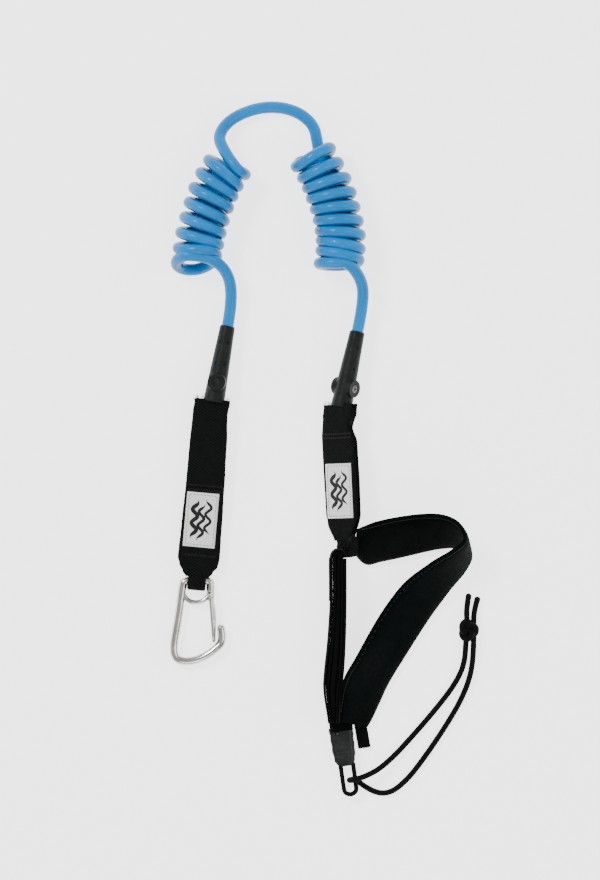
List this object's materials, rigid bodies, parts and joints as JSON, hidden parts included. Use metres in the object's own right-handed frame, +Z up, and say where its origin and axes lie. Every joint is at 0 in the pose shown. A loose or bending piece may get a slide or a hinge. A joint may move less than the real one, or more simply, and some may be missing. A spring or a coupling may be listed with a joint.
{
  "type": "coiled water sports leash",
  "caption": "Coiled urethane leash with a swivel at each end, a webbing tab with a wire-gate snap hook on one side and a padded cuff with a closure tab and pull cord on the other.",
  "frame": {"origin": "on the surface that the leash lies on, under the middle of the parts that are not cord", "axes": "+Z up, +Y from the hook and cuff towards the coils, +X from the hook side to the cuff side"},
  "size_m": [0.1969, 0.4408, 0.0369],
  "materials": {
    "blue_cord": "glossy blue urethane",
    "moulded_plastic": "fine satin grain",
    "washer_plastic": "smooth",
    "steel": "polished stainless",
    "webbing": "ribbed polyester webbing",
    "label_cloth": "woven satin",
    "thread": "sewing thread",
    "neoprene": "smooth knit-faced neoprene",
    "hook_tape": "hook tape",
    "closure_plastic": "satin rubberised sheet",
    "braided_cord": "fine braid"
  },
  "bodies": {
    "coil_cord": {"cord_left_tail": "blue_cord", "cord_left_coil": "blue_cord", "cord_arc": "blue_cord", "cord_right_coil": "blue_cord", "cord_right_tail": "blue_cord", "left_moulded_end": "moulded_plastic", "left_cross_screw": "steel", "left_screw_nut": "steel", "left_cord_plug": "blue_cord", "right_moulded_end": "moulded_plastic", "right_cross_screw": "steel", "right_screw_nut": "steel", "right_cord_plug": "blue_cord"},
    "left_swivel": {"left_swivel": "steel", "left_thrust_washer": "washer_plastic"},
    "left_tab": {"left_tab_core": "webbing", "left_tab_back": "webbing", "left_tab_upper_flap": "webbing", "left_tab_lower_face": "webbing", "left_label": "label_cloth", "left_label_stitching": "thread", "left_tab_stitching": "thread"},
    "snap_hook": {"hook_frame": "steel", "hook_eye_bar": "steel"},
    "hook_gate": {"wire_gate": "steel"},
    "right_swivel": {"right_swivel": "steel", "right_thrust_washer": "washer_plastic"},
    "cuff": {"right_tab_core": "webbing", "right_tab_back": "webbing", "right_tab_face": "webbing", "right_label": "label_cloth", "right_label_stitching": "thread", "right_tab_stitching": "thread", "cuff_neck": "webbing", "cuff_pad": "neoprene", "closing_strap_outer": "neoprene", "closing_strap_inner": "webbing", "cuff_end_patch": "hook_tape"},
    "closure": {"closure_tab": "closure_plastic", "closure_ring": "webbing", "closure_rivet": "steel"},
    "pull_cord": {"pull_cord_hitch": "braided_cord", "pull_cord_upper_strand": "braided_cord", "pull_cord_lower_strand": "braided_cord", "pull_cord_knot": "braided_cord", "pull_cord_free_end_a": "braided_cord", "pull_cord_free_end_b": "braided_cord"}
  },
  "joints": [
    {"name": "left_swivel_spin", "type": "hinge", "parent": "coil_cord", "child": "left_swivel", "pos_m": [-0.0686, 0.0994, 0.0105], "axis": [0.1805, 0.9836, 0], "continuous": true},
    {"name": "left_tab_tilt", "type": "hinge", "parent": "left_swivel", "child": "left_tab", "pos_m": [-0.0699, 0.09232, 0.0105], "axis": [0.9836, -0.1805, 0], "range_deg": [-75, 75]},
    {"name": "hook_swing", "type": "hinge", "parent": "left_tab", "child": "snap_hook", "pos_m": [-0.07936, -0.01364, 0.00548], "axis": [0.996, -0.0889, 0], "range_deg": [-75, 75]},
    {"name": "gate_open", "type": "hinge", "parent": "snap_hook", "child": "hook_gate", "pos_m": [-0.07096, -0.02164, 0.00548], "axis": [0, 0, -1], "range_deg": [0, 24], "stiffness_Nm_per_rad": 0.01, "springref_deg": -5.73},
    {"name": "right_swivel_spin", "type": "hinge", "parent": "coil_cord", "child": "right_swivel", "pos_m": [0.0121, 0.0962, 0.0115], "axis": [0.2096, 0.9778, 0], "range_deg": [-120, 120]},
    {"name": "right_tab_tilt", "type": "hinge", "parent": "right_swivel", "child": "cuff", "pos_m": [0.01059, 0.08916, 0.0115], "axis": [0.7705, -0.1652, 0.6157], "range_deg": [-70, 70]},
    {"name": "closure_peel", "type": "hinge", "parent": "cuff", "child": "closure", "pos_m": [0.0123, -0.1066, 0.0065], "axis": [-0.9903, -0.1392, 0], "range_deg": [0, 90]},
    {"name": "pull_cord_swing", "type": "hinge", "parent": "closure", "child": "pull_cord", "pos_m": [0.02099, -0.13971, 0.0065], "axis": [-0.1392, 0.9903, 0], "range_deg": [-100, 100]}
  ]
}
